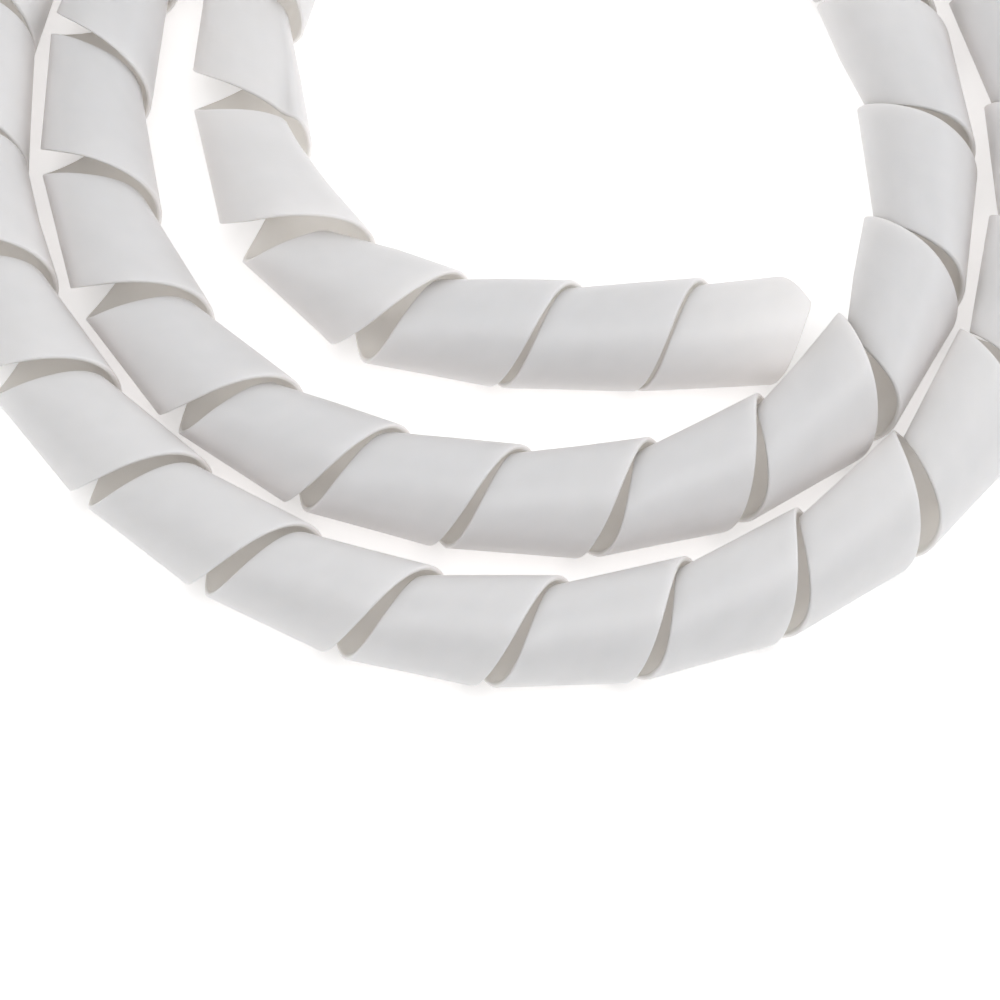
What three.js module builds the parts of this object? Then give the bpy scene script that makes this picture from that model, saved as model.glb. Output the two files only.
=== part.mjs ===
// Spiral cable wrap: one strip of thin white polyethylene, wound as a left-handed
// helix into a tube, and laid flat on the floor as a loose coil of a little over
// three laps. Millimetres, +Z up. The origin is on the floor, under the middle of
// the coil's bounding box.
import * as THREE from "three";

// Section of the tube and of the strip that it is wound from
const OUTER_DIAMETER = 20;
const WALL = 1;
const STRIP_WIDTH = 23.95;
const SEAM_GAP = 0.35;
const STOCK_LENGTH = 1500;

// Where the coil bends, the rims lap on its inner side, clear of each other
const LAP_CLEARANCE = 0.35;

// The strip starts and ends in a slanted cut with a blunt tip
const TIP_WIDTH = 1.5;
const CUT_TURNS = 0.4;

// Straight facets in one turn of the strip, and steps from one spoke to the next
const FACETS = 16;
const SPAN_STEPS = 24;

// Turn of the strip's first line, from straight out, in facets: its tip is hidden below
const FIRST_FACET = 10.5;

// The axis runs clockwise, seen from above, from the inner end outwards. Where it crosses
// each spoke of the coil: its distance from the middle, in outer diameters, and how far
// the turns are pulled apart there, against turns that lie rim to rim
const SPOKES = 12;
const FIRST_SPOKE = (41 * Math.PI) / 180;
const LAY = [
  [3.25, 1.00],
  [2.25, 1.00],
  [2.05, 1.01],
  [2.25, 1.04],
  [2.40, 1.13],
  [2.55, 1.23],
  [3.00, 1.22],
  [3.25, 1.24],
  [3.40, 1.25],
  [3.50, 1.24],
  [3.55, 1.13],
  [3.75, 1.05],
  [4.05, 1.08],
  [3.90, 1.03],
  [3.70, 1.03],
  [3.80, 1.04],
  [3.90, 1.12],
  [3.95, 1.05],
  [4.10, 1.09],
  [4.35, 1.10],
  [4.50, 1.10],
  [4.60, 1.10],
  [4.70, 1.06],
  [4.90, 1.03],
  [5.10, 1.13],
  [5.10, 1.03],
  [5.00, 1.05],
  [4.90, 1.08],
  [5.00, 1.11],
  [5.05, 1.11],
];

// Past the last of these the coil lies beside its lap before, this many diameters outside
// it, and pulled apart so far that its rims no longer lap
const LAP_SPACING = 1.1;
const OUTER_STRETCH = 1.18;

const RADIUS = OUTER_DIAMETER / 2;
const CLOSED_PITCH = STRIP_WIDTH + SEAM_GAP;
const FACET_ANGLE = (2 * Math.PI) / FACETS;
const FIRST_ANGLE = FIRST_FACET * FACET_ANGLE;

function smoothStep(value) {
  const t = Math.min(Math.max(value, 0), 1);
  return t * t * (3 - 2 * t);
}

function planDistance(a, b) {
  return Math.hypot(b.x - a.x, b.y - a.y);
}

function layAt(spoke) {
  if (spoke < LAY.length) return LAY[spoke];
  const [radius] = layAt(spoke - SPOKES);
  return [radius + LAP_SPACING, OUTER_STRETCH];
}

// Place of the axis on one spoke, on the floor plan, with the stretch as its third value
function spokePoint(spoke) {
  const [radius, stretch] = layAt(spoke);
  const angle = FIRST_SPOKE + (spoke / SPOKES) * 2 * Math.PI;
  const reach = radius * OUTER_DIAMETER;
  return new THREE.Vector3(reach * Math.cos(angle), -reach * Math.sin(angle), stretch);
}

// Points of the axis on a smooth curve through as many spokes as the length needs
function routePoints(length) {
  const places = [spokePoint(0)];
  let laid = 0;
  while (laid < length) {
    places.push(spokePoint(places.length));
    laid += planDistance(places[places.length - 2], places[places.length - 1]);
  }
  const curve = new THREE.CatmullRomCurve3(places, false, "centripetal");
  return curve.getPoints((places.length - 1) * SPAN_STEPS);
}

// Unit direction of travel at one point of the route
function directionAt(points, i) {
  const before = points[Math.max(i - 1, 0)];
  const after = points[Math.min(i + 1, points.length - 1)];
  const length = planDistance(before, after);
  return [(after.x - before.x) / length, (after.y - before.y) / length];
}

// Lists along the axis: place, distance, heading and number of turns wound so far
function layAxis(length) {
  const points = routePoints(length);
  const axis = { x: [], y: [], distance: [0], heading: [], turns: [0] };
  let heading = 0;
  points.forEach((point, i) => {
    const [tx, ty] = directionAt(points, i);
    const raw = Math.atan2(ty, tx);
    heading = i === 0 ? raw : heading + Math.atan2(Math.sin(raw - heading), Math.cos(raw - heading));
    axis.x.push(point.x);
    axis.y.push(point.y);
    axis.heading.push(heading);
    if (i === 0) return;
    const step = planDistance(points[i - 1], point);
    const stretch = (points[i - 1].z + point.z) / 2;
    axis.distance.push(axis.distance[i - 1] + step);
    axis.turns.push(axis.turns[i - 1] + step / (CLOSED_PITCH * stretch));
  });
  return axis;
}

// Place of a value in a rising list, as an index with a fraction
function indexOf(list, value) {
  let low = 0;
  let high = list.length - 1;
  while (high - low > 1) {
    const middle = (low + high) >> 1;
    if (list[middle] <= value) low = middle;
    else high = middle;
  }
  return low + Math.min(Math.max((value - list[low]) / (list[high] - list[low]), 0), 1);
}

function valueAt(list, index) {
  const low = Math.min(Math.floor(index), list.length - 2);
  return list[low] + (list[low + 1] - list[low]) * (index - low);
}

// Middle and direction of one line across the strip: a chord between two places on the axis
function chordAt(axis, turn) {
  const here = valueAt(axis.distance, indexOf(axis.turns, turn));
  const [start, end] = [here - STRIP_WIDTH / 2, here + STRIP_WIDTH / 2].map((distance) => {
    const index = indexOf(axis.distance, distance);
    const beyond = Math.min(distance, 0);
    const heading = valueAt(axis.heading, index);
    return [
      valueAt(axis.x, index) + beyond * Math.cos(heading),
      valueAt(axis.y, index) + beyond * Math.sin(heading),
    ];
  });
  const length = Math.hypot(end[0] - start[0], end[1] - start[1]);
  return {
    middle: [(start[0] + end[0]) / 2, (start[1] + end[1]) / 2],
    along: [(end[0] - start[0]) / length, (end[1] - start[1]) / length],
  };
}

// How far a rim leans out, or in, for the turns at two numbers to lap clear. Turns that lie
// rim to rim don't lean: the lean starts when their seam closes
function lapLean(axis, fromTurn, toTurn) {
  const [from, to] = [Math.max(fromTurn, 0), toTurn].map((turn) => chordAt(axis, turn));
  const bend = Math.acos(Math.min(from.along[0] * to.along[0] + from.along[1] * to.along[1], 1));
  const advance = Math.hypot(to.middle[0] - from.middle[0], to.middle[1] - from.middle[1]);
  const overlap = RADIUS * bend + STRIP_WIDTH - advance;
  const crossing = (RADIUS * bend * bend) / 2;
  const share = 1 - (RADIUS * bend) / STRIP_WIDTH;
  const lean = (WALL + LAP_CLEARANCE + crossing) / (2 * share);
  return lean * smoothStep(1 + overlap / SEAM_GAP);
}

// Four corners of the strip at one line across it: outer lead, outer trail,
// inner trail and inner lead
function stripLine(axis, turn, lastTurn) {
  const { middle, along } = chordAt(axis, turn);
  const out = [-along[1], along[0]];
  const angle = FIRST_ANGLE - turn * 2 * Math.PI;
  const leadLean = lapLean(axis, turn - 1, turn);
  const trailLean = lapLean(axis, turn, turn + 1);
  const inside = smoothStep(1 - Math.cos(angle));
  const height = (RADIUS + leadLean) * Math.cos(FACET_ANGLE / 2);
  const cut = STRIP_WIDTH - TIP_WIDTH;
  const lead = -STRIP_WIDTH / 2 + cut * Math.max(1 - turn / CUT_TURNS, 0);
  const trail = STRIP_WIDTH / 2 - cut * Math.max(1 - (lastTurn - turn) / CUT_TURNS, 0);
  const corner = (offset, radius) => [
    middle[0] + out[0] * radius * Math.cos(angle) + along[0] * offset,
    middle[1] + out[1] * radius * Math.cos(angle) + along[1] * offset,
    height + radius * Math.sin(angle),
  ];
  const lean = (offset) => {
    const share = (2 * Math.abs(offset)) / STRIP_WIDTH;
    return (offset < 0 ? leadLean : -trailLean) * inside * share;
  };
  return [
    corner(lead, RADIUS + lean(lead)),
    corner(trail, RADIUS + lean(trail)),
    corner(trail, RADIUS - WALL + lean(trail)),
    corner(lead, RADIUS - WALL + lean(lead)),
  ];
}

// Two triangles for each side between neighbouring lines, and for each end. The inner
// face, side 2, is split along the outer face's diagonal, so a twisted wall stays whole
function stripFaces(lineCount) {
  const faces = [0, 3, 2, 0, 2, 1];
  for (let line = 1; line < lineCount; line += 1) {
    const here = 4 * (line - 1);
    for (let side = 0; side < 4; side += 1) {
      const next = (side + 1) % 4;
      if (side === 2) {
        faces.push(here + side, here + next, here + 4 + side);
        faces.push(here + next, here + 4 + next, here + 4 + side);
      } else {
        faces.push(here + side, here + next, here + 4 + next);
        faces.push(here + side, here + 4 + next, here + 4 + side);
      }
    }
  }
  const end = 4 * (lineCount - 1);
  faces.push(end, end + 1, end + 2, end, end + 2, end + 3);
  return faces;
}

function wrapGeometry() {
  const axis = layAxis(STOCK_LENGTH + 2 * STRIP_WIDTH);
  const endTurn = valueAt(axis.turns, indexOf(axis.distance, STOCK_LENGTH));
  const lineCount = Math.floor(endTurn * FACETS) + 1;
  const lastTurn = (lineCount - 1) / FACETS;
  const places = [];
  for (let line = 0; line < lineCount; line += 1) {
    places.push(...stripLine(axis, line / FACETS, lastTurn).flat());
  }
  const geometry = new THREE.BufferGeometry();
  geometry.setAttribute("position", new THREE.Float32BufferAttribute(places, 3));
  geometry.setIndex(stripFaces(lineCount));
  geometry.computeVertexNormals();
  geometry.computeBoundingBox();
  const middle = geometry.boundingBox.getCenter(new THREE.Vector3());
  return geometry.translate(-middle.x, -middle.y, -geometry.boundingBox.min.z);
}

const polyethylene = new THREE.MeshStandardMaterial({ color: 0xdcdbde, roughness: 0.42, metalness: 0 });

const wrap = new THREE.Mesh(wrapGeometry(), polyethylene);
wrap.name = "spiral_wrap";

const model = new THREE.Group();
model.add(wrap);

export default model;
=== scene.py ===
"""Spiral cable wrap in natural white polyethylene, lying as a loose flat coil on a pale floor.

The part's solid has flat facets. This script lays the same strip along the same axis, with
fine steps, rounded rims and a procedural material. Metres, +Z up.
"""
import math

import bpy
import numpy as np
from mathutils import Matrix, Vector


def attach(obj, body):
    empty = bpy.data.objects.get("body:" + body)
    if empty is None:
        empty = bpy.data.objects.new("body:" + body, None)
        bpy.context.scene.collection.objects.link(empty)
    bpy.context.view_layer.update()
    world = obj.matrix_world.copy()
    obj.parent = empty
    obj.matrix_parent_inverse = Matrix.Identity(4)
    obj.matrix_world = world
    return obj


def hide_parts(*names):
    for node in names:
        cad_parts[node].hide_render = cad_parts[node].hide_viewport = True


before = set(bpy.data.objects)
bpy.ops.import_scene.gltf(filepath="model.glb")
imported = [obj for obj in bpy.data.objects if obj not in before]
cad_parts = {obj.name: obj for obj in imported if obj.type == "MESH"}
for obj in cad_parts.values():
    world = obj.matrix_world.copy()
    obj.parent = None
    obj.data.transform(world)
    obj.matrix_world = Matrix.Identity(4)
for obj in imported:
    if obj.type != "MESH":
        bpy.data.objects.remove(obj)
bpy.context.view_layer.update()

MM = 0.001

# Section of the tube and of its strip, as in the part
OUTER_DIAMETER = 20 * MM
WALL = 1 * MM
STRIP_WIDTH = 23.95 * MM
SEAM_GAP = 0.35 * MM
STOCK_LENGTH = 1.5
LAP_CLEARANCE = 0.35 * MM
TIP_WIDTH = 1.5 * MM
CUT_TURNS = 0.4
FACETS = 16
SPAN_STEPS = 24
FIRST_FACET = 10.5

# Lay of the axis, as in the part: its distance from the middle on each spoke, in outer
# diameters, and how far the turns are pulled apart there
SPOKES = 12
FIRST_SPOKE = math.radians(41)
LAY = [
    (3.25, 1.00),
    (2.25, 1.00),
    (2.05, 1.01),
    (2.25, 1.04),
    (2.40, 1.13),
    (2.55, 1.23),
    (3.00, 1.22),
    (3.25, 1.24),
    (3.40, 1.25),
    (3.50, 1.24),
    (3.55, 1.13),
    (3.75, 1.05),
    (4.05, 1.08),
    (3.90, 1.03),
    (3.70, 1.03),
    (3.80, 1.04),
    (3.90, 1.12),
    (3.95, 1.05),
    (4.10, 1.09),
    (4.35, 1.10),
    (4.50, 1.10),
    (4.60, 1.10),
    (4.70, 1.06),
    (4.90, 1.03),
    (5.10, 1.13),
    (5.10, 1.03),
    (5.00, 1.05),
    (4.90, 1.08),
    (5.00, 1.11),
    (5.05, 1.11),
]
LAP_SPACING = 1.1
OUTER_STRETCH = 1.18

RADIUS = OUTER_DIAMETER / 2
CLOSED_PITCH = STRIP_WIDTH + SEAM_GAP
FACET_ANGLE = 2 * math.pi / FACETS
FIRST_ANGLE = FIRST_FACET * FACET_ANGLE

# The fine tube is as wide as the solid is across its flats, so it stays in the solid's box
FINE_RADIUS = RADIUS * math.cos(FACET_ANGLE / 2)
FINE_STEPS = 48
RIM_ROUNDING = 0.33 * MM
RIM_STEPS = 3
FACE_STEPS = 8

# Camera: where it aims, on the part's floor plan before the part is centred
AIM = (-6.8 * MM, -73.5 * MM, 10 * MM)
ELEVATION = math.radians(66)
DISTANCE = 1.61
ROLL = math.radians(-2.7)
LENS = 321
SENSOR = 36

# Polyethylene: two shades of its outer face, and a darker, warmer one for its inner face,
# which is painted shade inside the tube (the strip is one material); its lowest and highest
# roughness, and the share, colour and reach of the light that spreads in its wall
OUTER_TINTS = (0.885, 0.845, 0.825, 1), (0.915, 0.87, 0.85, 1)
PAINTED_INNER_SHADE = (0.75, 0.72, 0.68, 1)
ROUGHNESS = 0.36, 0.48
REFRACTION = 1.51
SPREAD_SHARE = 0.75
SPREAD_COLOUR = (1.0, 0.93, 0.85)
SPREAD = 8 * MM

# Its die lines, as waves a metre along and across the strip, and its clouds
DIE_LINES = (6, 900, 1)
DIE_LINE_DEPTH = 0.05 * MM
DIE_LINE_STRENGTH = 0.25
CLOUDS = 160.0
CLOUD_EDGES = 0.3, 0.7

# Studio: the floor, the room's brightness at its front and back, and the lights, each
# with its place, width, power and colour
FLOOR_SIZE = 6.0
FLOOR_TINT = (0.93, 0.93, 0.93, 1)
FLOOR_ROUGHNESS = 0.9
FLOOR_GLOW = 0.3
ROOM_BRIGHTNESS = 0.35, 0.72
WHITE = (1, 1, 1)
LIGHTS = {
    "overhead": ((0, -0.4, 1.5), 1.2, 10.5, WHITE),
    "left_window": ((-1.4, 0.1, 0.9), 0.9, 2, WHITE),
    "right_window": ((1.4, 0.1, 0.9), 0.9, 7, (0.95, 0.97, 1.0)),
}


def smooth_step(value):
    t = np.clip(value, 0, 1)
    return t * t * (3 - 2 * t)


def lay_at(spoke):
    if spoke < len(LAY):
        return LAY[spoke]
    return lay_at(spoke - SPOKES)[0] + LAP_SPACING, OUTER_STRETCH


def spoke_point(spoke):
    radius, stretch = lay_at(spoke)
    angle = FIRST_SPOKE + spoke / SPOKES * 2 * math.pi
    reach = radius * OUTER_DIAMETER
    return np.array([reach * math.cos(angle), -reach * math.sin(angle), stretch])


def smooth_curve(places):
    """Centripetal curve through the places, as the part's source draws it, in millimetres."""
    scale = np.array([1 / MM, 1 / MM, 1])
    before, after = 2 * places[0] - places[1], 2 * places[-1] - places[-2]
    knots = np.vstack([before, places, after]) * scale
    gaps = np.sqrt(np.linalg.norm(np.diff(knots, axis=0), axis=1))
    points = []
    for span in range(len(places) - 1):
        p0, p1, p2, p3 = knots[span : span + 4]
        d0, d1, d2 = gaps[span : span + 3]
        start = ((p1 - p0) / d0 - (p2 - p0) / (d0 + d1) + (p2 - p1) / d1) * d1
        end = ((p2 - p1) / d1 - (p3 - p1) / (d1 + d2) + (p3 - p2) / d2) * d1
        for step in range(SPAN_STEPS):
            t = step / SPAN_STEPS
            bend = (-3 * p1 + 3 * p2 - 2 * start - end) * t**2
            twist = (2 * p1 - 2 * p2 + start + end) * t**3
            points.append(p1 + start * t + bend + twist)
    points.append(knots[-2])
    return np.array(points) / scale


def lay_axis(length):
    """Place, direction, distance and number of turns wound, at each step of the axis."""
    places = [spoke_point(0)]
    laid = 0
    while laid < length:
        places.append(spoke_point(len(places)))
        laid += math.dist(places[-2][:2], places[-1][:2])
    points = smooth_curve(np.array(places))
    plan = points[:, :2]
    steps = np.linalg.norm(np.diff(plan, axis=0), axis=1)
    stretch = (points[1:, 2] + points[:-1, 2]) / 2
    direction = np.gradient(plan, axis=0)
    direction /= np.linalg.norm(direction, axis=1)[:, None]
    return {
        "plan": plan,
        "direction": direction,
        "distance": np.concatenate([[0], np.cumsum(steps)]),
        "turns": np.concatenate([[0], np.cumsum(steps / (CLOSED_PITCH * stretch))]),
    }


def place_at(axis, distance):
    x = np.interp(distance, axis["distance"], axis["plan"][:, 0])
    y = np.interp(distance, axis["distance"], axis["plan"][:, 1])
    before = np.minimum(distance, 0)[:, None] * axis["direction"][0]
    return np.column_stack([x, y]) + before


def chords_at(axis, turns):
    """Middle and direction of the lines across the strip at these turns."""
    here = np.interp(turns, axis["turns"], axis["distance"])
    start = place_at(axis, here - STRIP_WIDTH / 2)
    end = place_at(axis, here + STRIP_WIDTH / 2)
    along = end - start
    return (start + end) / 2, along / np.linalg.norm(along, axis=1)[:, None]


def lap_lean(axis, first_turns, next_turns):
    """How far a rim leans out, or in, for the turns at two numbers to lap clear. Turns that
    lie rim to rim don't lean: the lean starts when their seam closes."""
    first, first_along = chords_at(axis, np.maximum(first_turns, 0))
    second, second_along = chords_at(axis, next_turns)
    bend = np.arccos(np.minimum((first_along * second_along).sum(1), 1))
    advance = np.linalg.norm(second - first, axis=1)
    overlap = RADIUS * bend + STRIP_WIDTH - advance
    crossing = RADIUS * bend**2 / 2
    share = 1 - RADIUS * bend / STRIP_WIDTH
    lean = (WALL + LAP_CLEARANCE + crossing) / (2 * share)
    return lean * smooth_step(1 + overlap / SEAM_GAP)


def strip_section():
    """Outline of the strip's section: place across it (-1 to 1), place from its outer face,
    which rim corner it rounds, and how far it belongs to the inner face (0 to 1)."""
    quarter = [math.pi / 2 * step / RIM_STEPS for step in range(RIM_STEPS + 1)]
    face = np.linspace(-1, 1, FACE_STEPS + 1)
    outline = [(share, 0.0, 0.0, 0.0) for share in face[1:-1]]
    outline += [(1, math.sin(a) - 1, 1 - math.cos(a), 0.0) for a in quarter]
    outline += [(1, math.cos(a) - 1, -(1 - math.sin(a)), 1.0) for a in quarter]
    outline += [(share, 0.0, 0.0, 1.0) for share in face[::-1][1:-1]]
    outline += [(-1, 1 - math.sin(a), -(1 - math.cos(a)), 1.0) for a in quarter]
    outline += [(-1, 1 - math.cos(a), 1 - math.sin(a), 0.0) for a in quarter]
    return np.array(outline)


def strip_lines(axis, steps_a_turn, radius, section):
    """Points of the strip: one row for each line across it, one column for each place on its
    section. Also the turn of each line and the distance across the strip of each point."""
    end_turn = np.interp(STOCK_LENGTH, axis["distance"], axis["turns"])
    last_turn = math.floor(end_turn * FACETS) / FACETS
    turns = np.arange(round(last_turn * steps_a_turn) + 1) / steps_a_turn
    middle, along = chords_at(axis, turns)
    lead_lean = lap_lean(axis, turns - 1, turns)
    trail_lean = lap_lean(axis, turns, turns + 1)
    angle = FIRST_ANGLE - turns * 2 * math.pi
    inside = smooth_step(1 - np.cos(angle))
    cut = STRIP_WIDTH - TIP_WIDTH
    lead = -STRIP_WIDTH / 2 + cut * np.maximum(1 - turns / CUT_TURNS, 0)
    trail = STRIP_WIDTH / 2 - cut * np.maximum(1 - (last_turn - turns) / CUT_TURNS, 0)
    share, inset, depth, inner = section.T
    centre = ((lead + trail) / 2)[:, None]
    offset = centre + ((trail - lead) / 2)[:, None] * share + inset * RIM_ROUNDING
    leaning = np.where(offset < 0, lead_lean[:, None], -trail_lean[:, None])
    lean = leaning * inside[:, None] * np.abs(offset) * 2 / STRIP_WIDTH
    reach = radius - inner * WALL - depth * RIM_ROUNDING + lean
    height = (radius + lead_lean * radius / RADIUS)[:, None]
    out = np.column_stack([-along[:, 1], along[:, 0]])
    plan = middle[:, None] + out[:, None] * (reach * np.cos(angle)[:, None])[..., None]
    plan = plan + along[:, None] * offset[..., None]
    tall = height + reach * np.sin(angle)[:, None]
    return np.concatenate([plan, tall[..., None]], axis=2), turns, offset


def grid_faces(rows, columns):
    """Four-sided faces between neighbouring lines, and one cap at each end."""
    row = np.arange(rows - 1)[:, None] * columns
    here = np.arange(columns)
    after = (here + 1) % columns
    quads = np.stack([row + here, row + after, row + columns + after, row + columns + here], 2)
    first_cap = list(range(columns - 1, -1, -1))
    last_cap = list(range((rows - 1) * columns, rows * columns))
    return quads.reshape(-1, 4).tolist() + [first_cap, last_cap]


def add_strip(name, axis, centre):
    """The strip as one mesh, with two attributes for its material: the place on the flat
    strip in metres, and how far a point belongs to the inner face."""
    section = strip_section()
    points, turns, offset = strip_lines(axis, FINE_STEPS, FINE_RADIUS, section)
    rows, columns = points.shape[:2]
    vertices = points.reshape(-1, 3) - centre
    mesh = bpy.data.meshes.new(name)
    mesh.from_pydata(vertices.tolist(), [], grid_faces(rows, columns))
    mesh.polygons.foreach_set("use_smooth", [True] * len(mesh.polygons))
    length = np.repeat(turns * 2 * math.pi * RADIUS, columns)
    flat = np.column_stack([length, offset.ravel(), np.zeros(rows * columns)])
    place = mesh.attributes.new("strip_place", "FLOAT_VECTOR", "POINT")
    place.data.foreach_set("vector", flat.ravel())
    inner = mesh.attributes.new("inner_face", "FLOAT", "POINT")
    inner.data.foreach_set("value", np.tile(section[:, 3], rows))
    mesh.update()
    piece = bpy.data.objects.new(name, mesh)
    bpy.context.collection.objects.link(piece)
    return piece


def add_node(tree, kind, **values):
    node = tree.nodes.new(kind)
    for key, value in values.items():
        setattr(node, key, value)
    return node


def polyethylene():
    """Natural white polyethylene: satin, a little light goes through the thin wall, faint
    lines from the die run along the strip, and the inner face is painted darker and warmer,
    as painted shade inside the tube."""
    material = bpy.data.materials.new("natural_polyethylene")
    material.use_nodes = True
    tree = material.node_tree
    link = tree.links.new
    shader = tree.nodes["Principled BSDF"]
    shader.inputs["IOR"].default_value = REFRACTION
    shader.inputs["Subsurface Weight"].default_value = SPREAD_SHARE
    shader.inputs["Subsurface Radius"].default_value = SPREAD_COLOUR
    shader.inputs["Subsurface Scale"].default_value = SPREAD

    place = add_node(tree, "ShaderNodeAttribute", attribute_name="strip_place")
    inner = add_node(tree, "ShaderNodeAttribute", attribute_name="inner_face")

    # Faint lines along the strip: noise that is long one way and fine the other
    lines_at = add_node(tree, "ShaderNodeVectorMath", operation="MULTIPLY")
    lines_at.inputs[1].default_value = DIE_LINES
    lines = add_node(tree, "ShaderNodeTexNoise")
    lines.inputs["Scale"].default_value = 1.0
    lines.inputs["Detail"].default_value = 1.0
    link(place.outputs["Vector"], lines_at.inputs[0])
    link(lines_at.outputs["Vector"], lines.inputs["Vector"])

    # Cloudy patches, a few millimetres wide, in colour and gloss
    clouds = add_node(tree, "ShaderNodeTexNoise")
    clouds.inputs["Scale"].default_value = CLOUDS
    clouds.inputs["Detail"].default_value = 1.0
    link(place.outputs["Vector"], clouds.inputs["Vector"])

    outer_tint = add_node(tree, "ShaderNodeValToRGB")
    for element, edge, tint in zip(outer_tint.color_ramp.elements, CLOUD_EDGES, OUTER_TINTS):
        element.position = edge
        element.color = tint
    link(clouds.outputs["Fac"], outer_tint.inputs["Fac"])

    # Painted shade: the inner face is tinted darker and warmer than the outer, though the
    # strip is one material
    inner_painted_shade = add_node(tree, "ShaderNodeMix", data_type="RGBA")
    inner_painted_shade.inputs["B"].default_value = PAINTED_INNER_SHADE
    link(inner.outputs["Fac"], inner_painted_shade.inputs["Factor"])
    link(outer_tint.outputs["Color"], inner_painted_shade.inputs["A"])
    link(inner_painted_shade.outputs["Result"], shader.inputs["Base Color"])

    gloss = add_node(tree, "ShaderNodeMapRange")
    gloss.inputs["To Min"].default_value = ROUGHNESS[0]
    gloss.inputs["To Max"].default_value = ROUGHNESS[1]
    link(clouds.outputs["Fac"], gloss.inputs["Value"])
    link(gloss.outputs["Result"], shader.inputs["Roughness"])

    relief = add_node(tree, "ShaderNodeBump")
    relief.inputs["Strength"].default_value = DIE_LINE_STRENGTH
    relief.inputs["Distance"].default_value = DIE_LINE_DEPTH
    link(lines.outputs["Fac"], relief.inputs["Height"])
    link(relief.outputs["Normal"], shader.inputs["Normal"])
    return material


def floor_material():
    """Matt white that glows a little, as the photograph's floor is white all over."""
    material = bpy.data.materials.new("pale_floor")
    material.use_nodes = True
    shader = material.node_tree.nodes["Principled BSDF"]
    shader.inputs["Base Color"].default_value = FLOOR_TINT
    shader.inputs["Roughness"].default_value = FLOOR_ROUGHNESS
    shader.inputs["Specular IOR Level"].default_value = 0.0
    shader.inputs["Emission Color"].default_value = (*WHITE, 1)
    shader.inputs["Emission Strength"].default_value = FLOOR_GLOW
    return material


def add_floor():
    bpy.ops.mesh.primitive_plane_add(size=FLOOR_SIZE, location=(0, 0, 0))
    floor = bpy.context.object
    floor.name = "floor"
    floor.data.materials.append(floor_material())


def add_light(name, place, size, power, color):
    """A soft square light, turned to the coil."""
    data = bpy.data.lights.new(name, "AREA")
    data.shape = "SQUARE"
    data.size = size
    data.energy = power
    data.color = color
    light = bpy.data.objects.new(name, data)
    light.location = place
    light.rotation_mode = "QUATERNION"
    light.rotation_quaternion = Vector(place).to_track_quat("Z", "Y")
    bpy.context.collection.objects.link(light)


def add_room():
    """Plain white room that is twice as bright at its back as at its front."""
    world = bpy.data.worlds.new("studio")
    world.use_nodes = True
    tree = world.node_tree
    background = tree.nodes["Background"]
    background.inputs["Color"].default_value = (*WHITE, 1)
    place = add_node(tree, "ShaderNodeTexCoord")
    parts = add_node(tree, "ShaderNodeSeparateXYZ")
    brightness = add_node(tree, "ShaderNodeMapRange")
    brightness.inputs["From Min"].default_value = -1.0
    brightness.inputs["To Min"].default_value = ROOM_BRIGHTNESS[0]
    brightness.inputs["To Max"].default_value = ROOM_BRIGHTNESS[1]
    tree.links.new(place.outputs["Generated"], parts.inputs["Vector"])
    tree.links.new(parts.outputs["Y"], brightness.inputs["Value"])
    tree.links.new(brightness.outputs["Result"], background.inputs["Strength"])
    bpy.context.scene.world = world


def add_camera(centre):
    """A long lens, as the photograph's flat perspective asks, turned about its own axis."""
    aim = Vector(AIM) - Vector((centre[0], centre[1], 0))
    right = Vector((1, 0, 0))
    up = Vector((0, math.sin(ELEVATION), math.cos(ELEVATION)))
    back = Vector((0, -math.cos(ELEVATION), math.sin(ELEVATION)))
    side = right * math.cos(ROLL) + up * math.sin(ROLL)
    top = up * math.cos(ROLL) - right * math.sin(ROLL)
    data = bpy.data.cameras.new("camera")
    data.lens = LENS
    data.sensor_width = SENSOR
    camera = bpy.data.objects.new("camera", data)
    turn = Matrix((side, top, back)).transposed().to_4x4()
    camera.matrix_world = Matrix.Translation(aim + back * DISTANCE) @ turn
    bpy.context.collection.objects.link(camera)
    bpy.context.scene.camera = camera


# The part is centred by its faceted solid's box, so the same box is worked out here
axis = lay_axis(STOCK_LENGTH + 2 * STRIP_WIDTH)
corners = np.array([(-1, 0, 0, 0), (1, 0, 0, 0), (1, 0, 0, 1), (-1, 0, 0, 1)])
solid = strip_lines(axis, FACETS, RADIUS, corners)[0].reshape(-1, 3)
centre = (solid.min(0) + solid.max(0)) / 2 * (1, 1, 0)

add_camera(centre)
wrap = add_strip("wrap_strip", axis, centre)
wrap.data.materials.append(polyethylene())
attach(wrap, "root")
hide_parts("spiral_wrap")
add_floor()
add_room()
for light_name, values in LIGHTS.items():
    add_light(light_name, *values)
bpy.context.scene.view_settings.view_transform = "Standard"
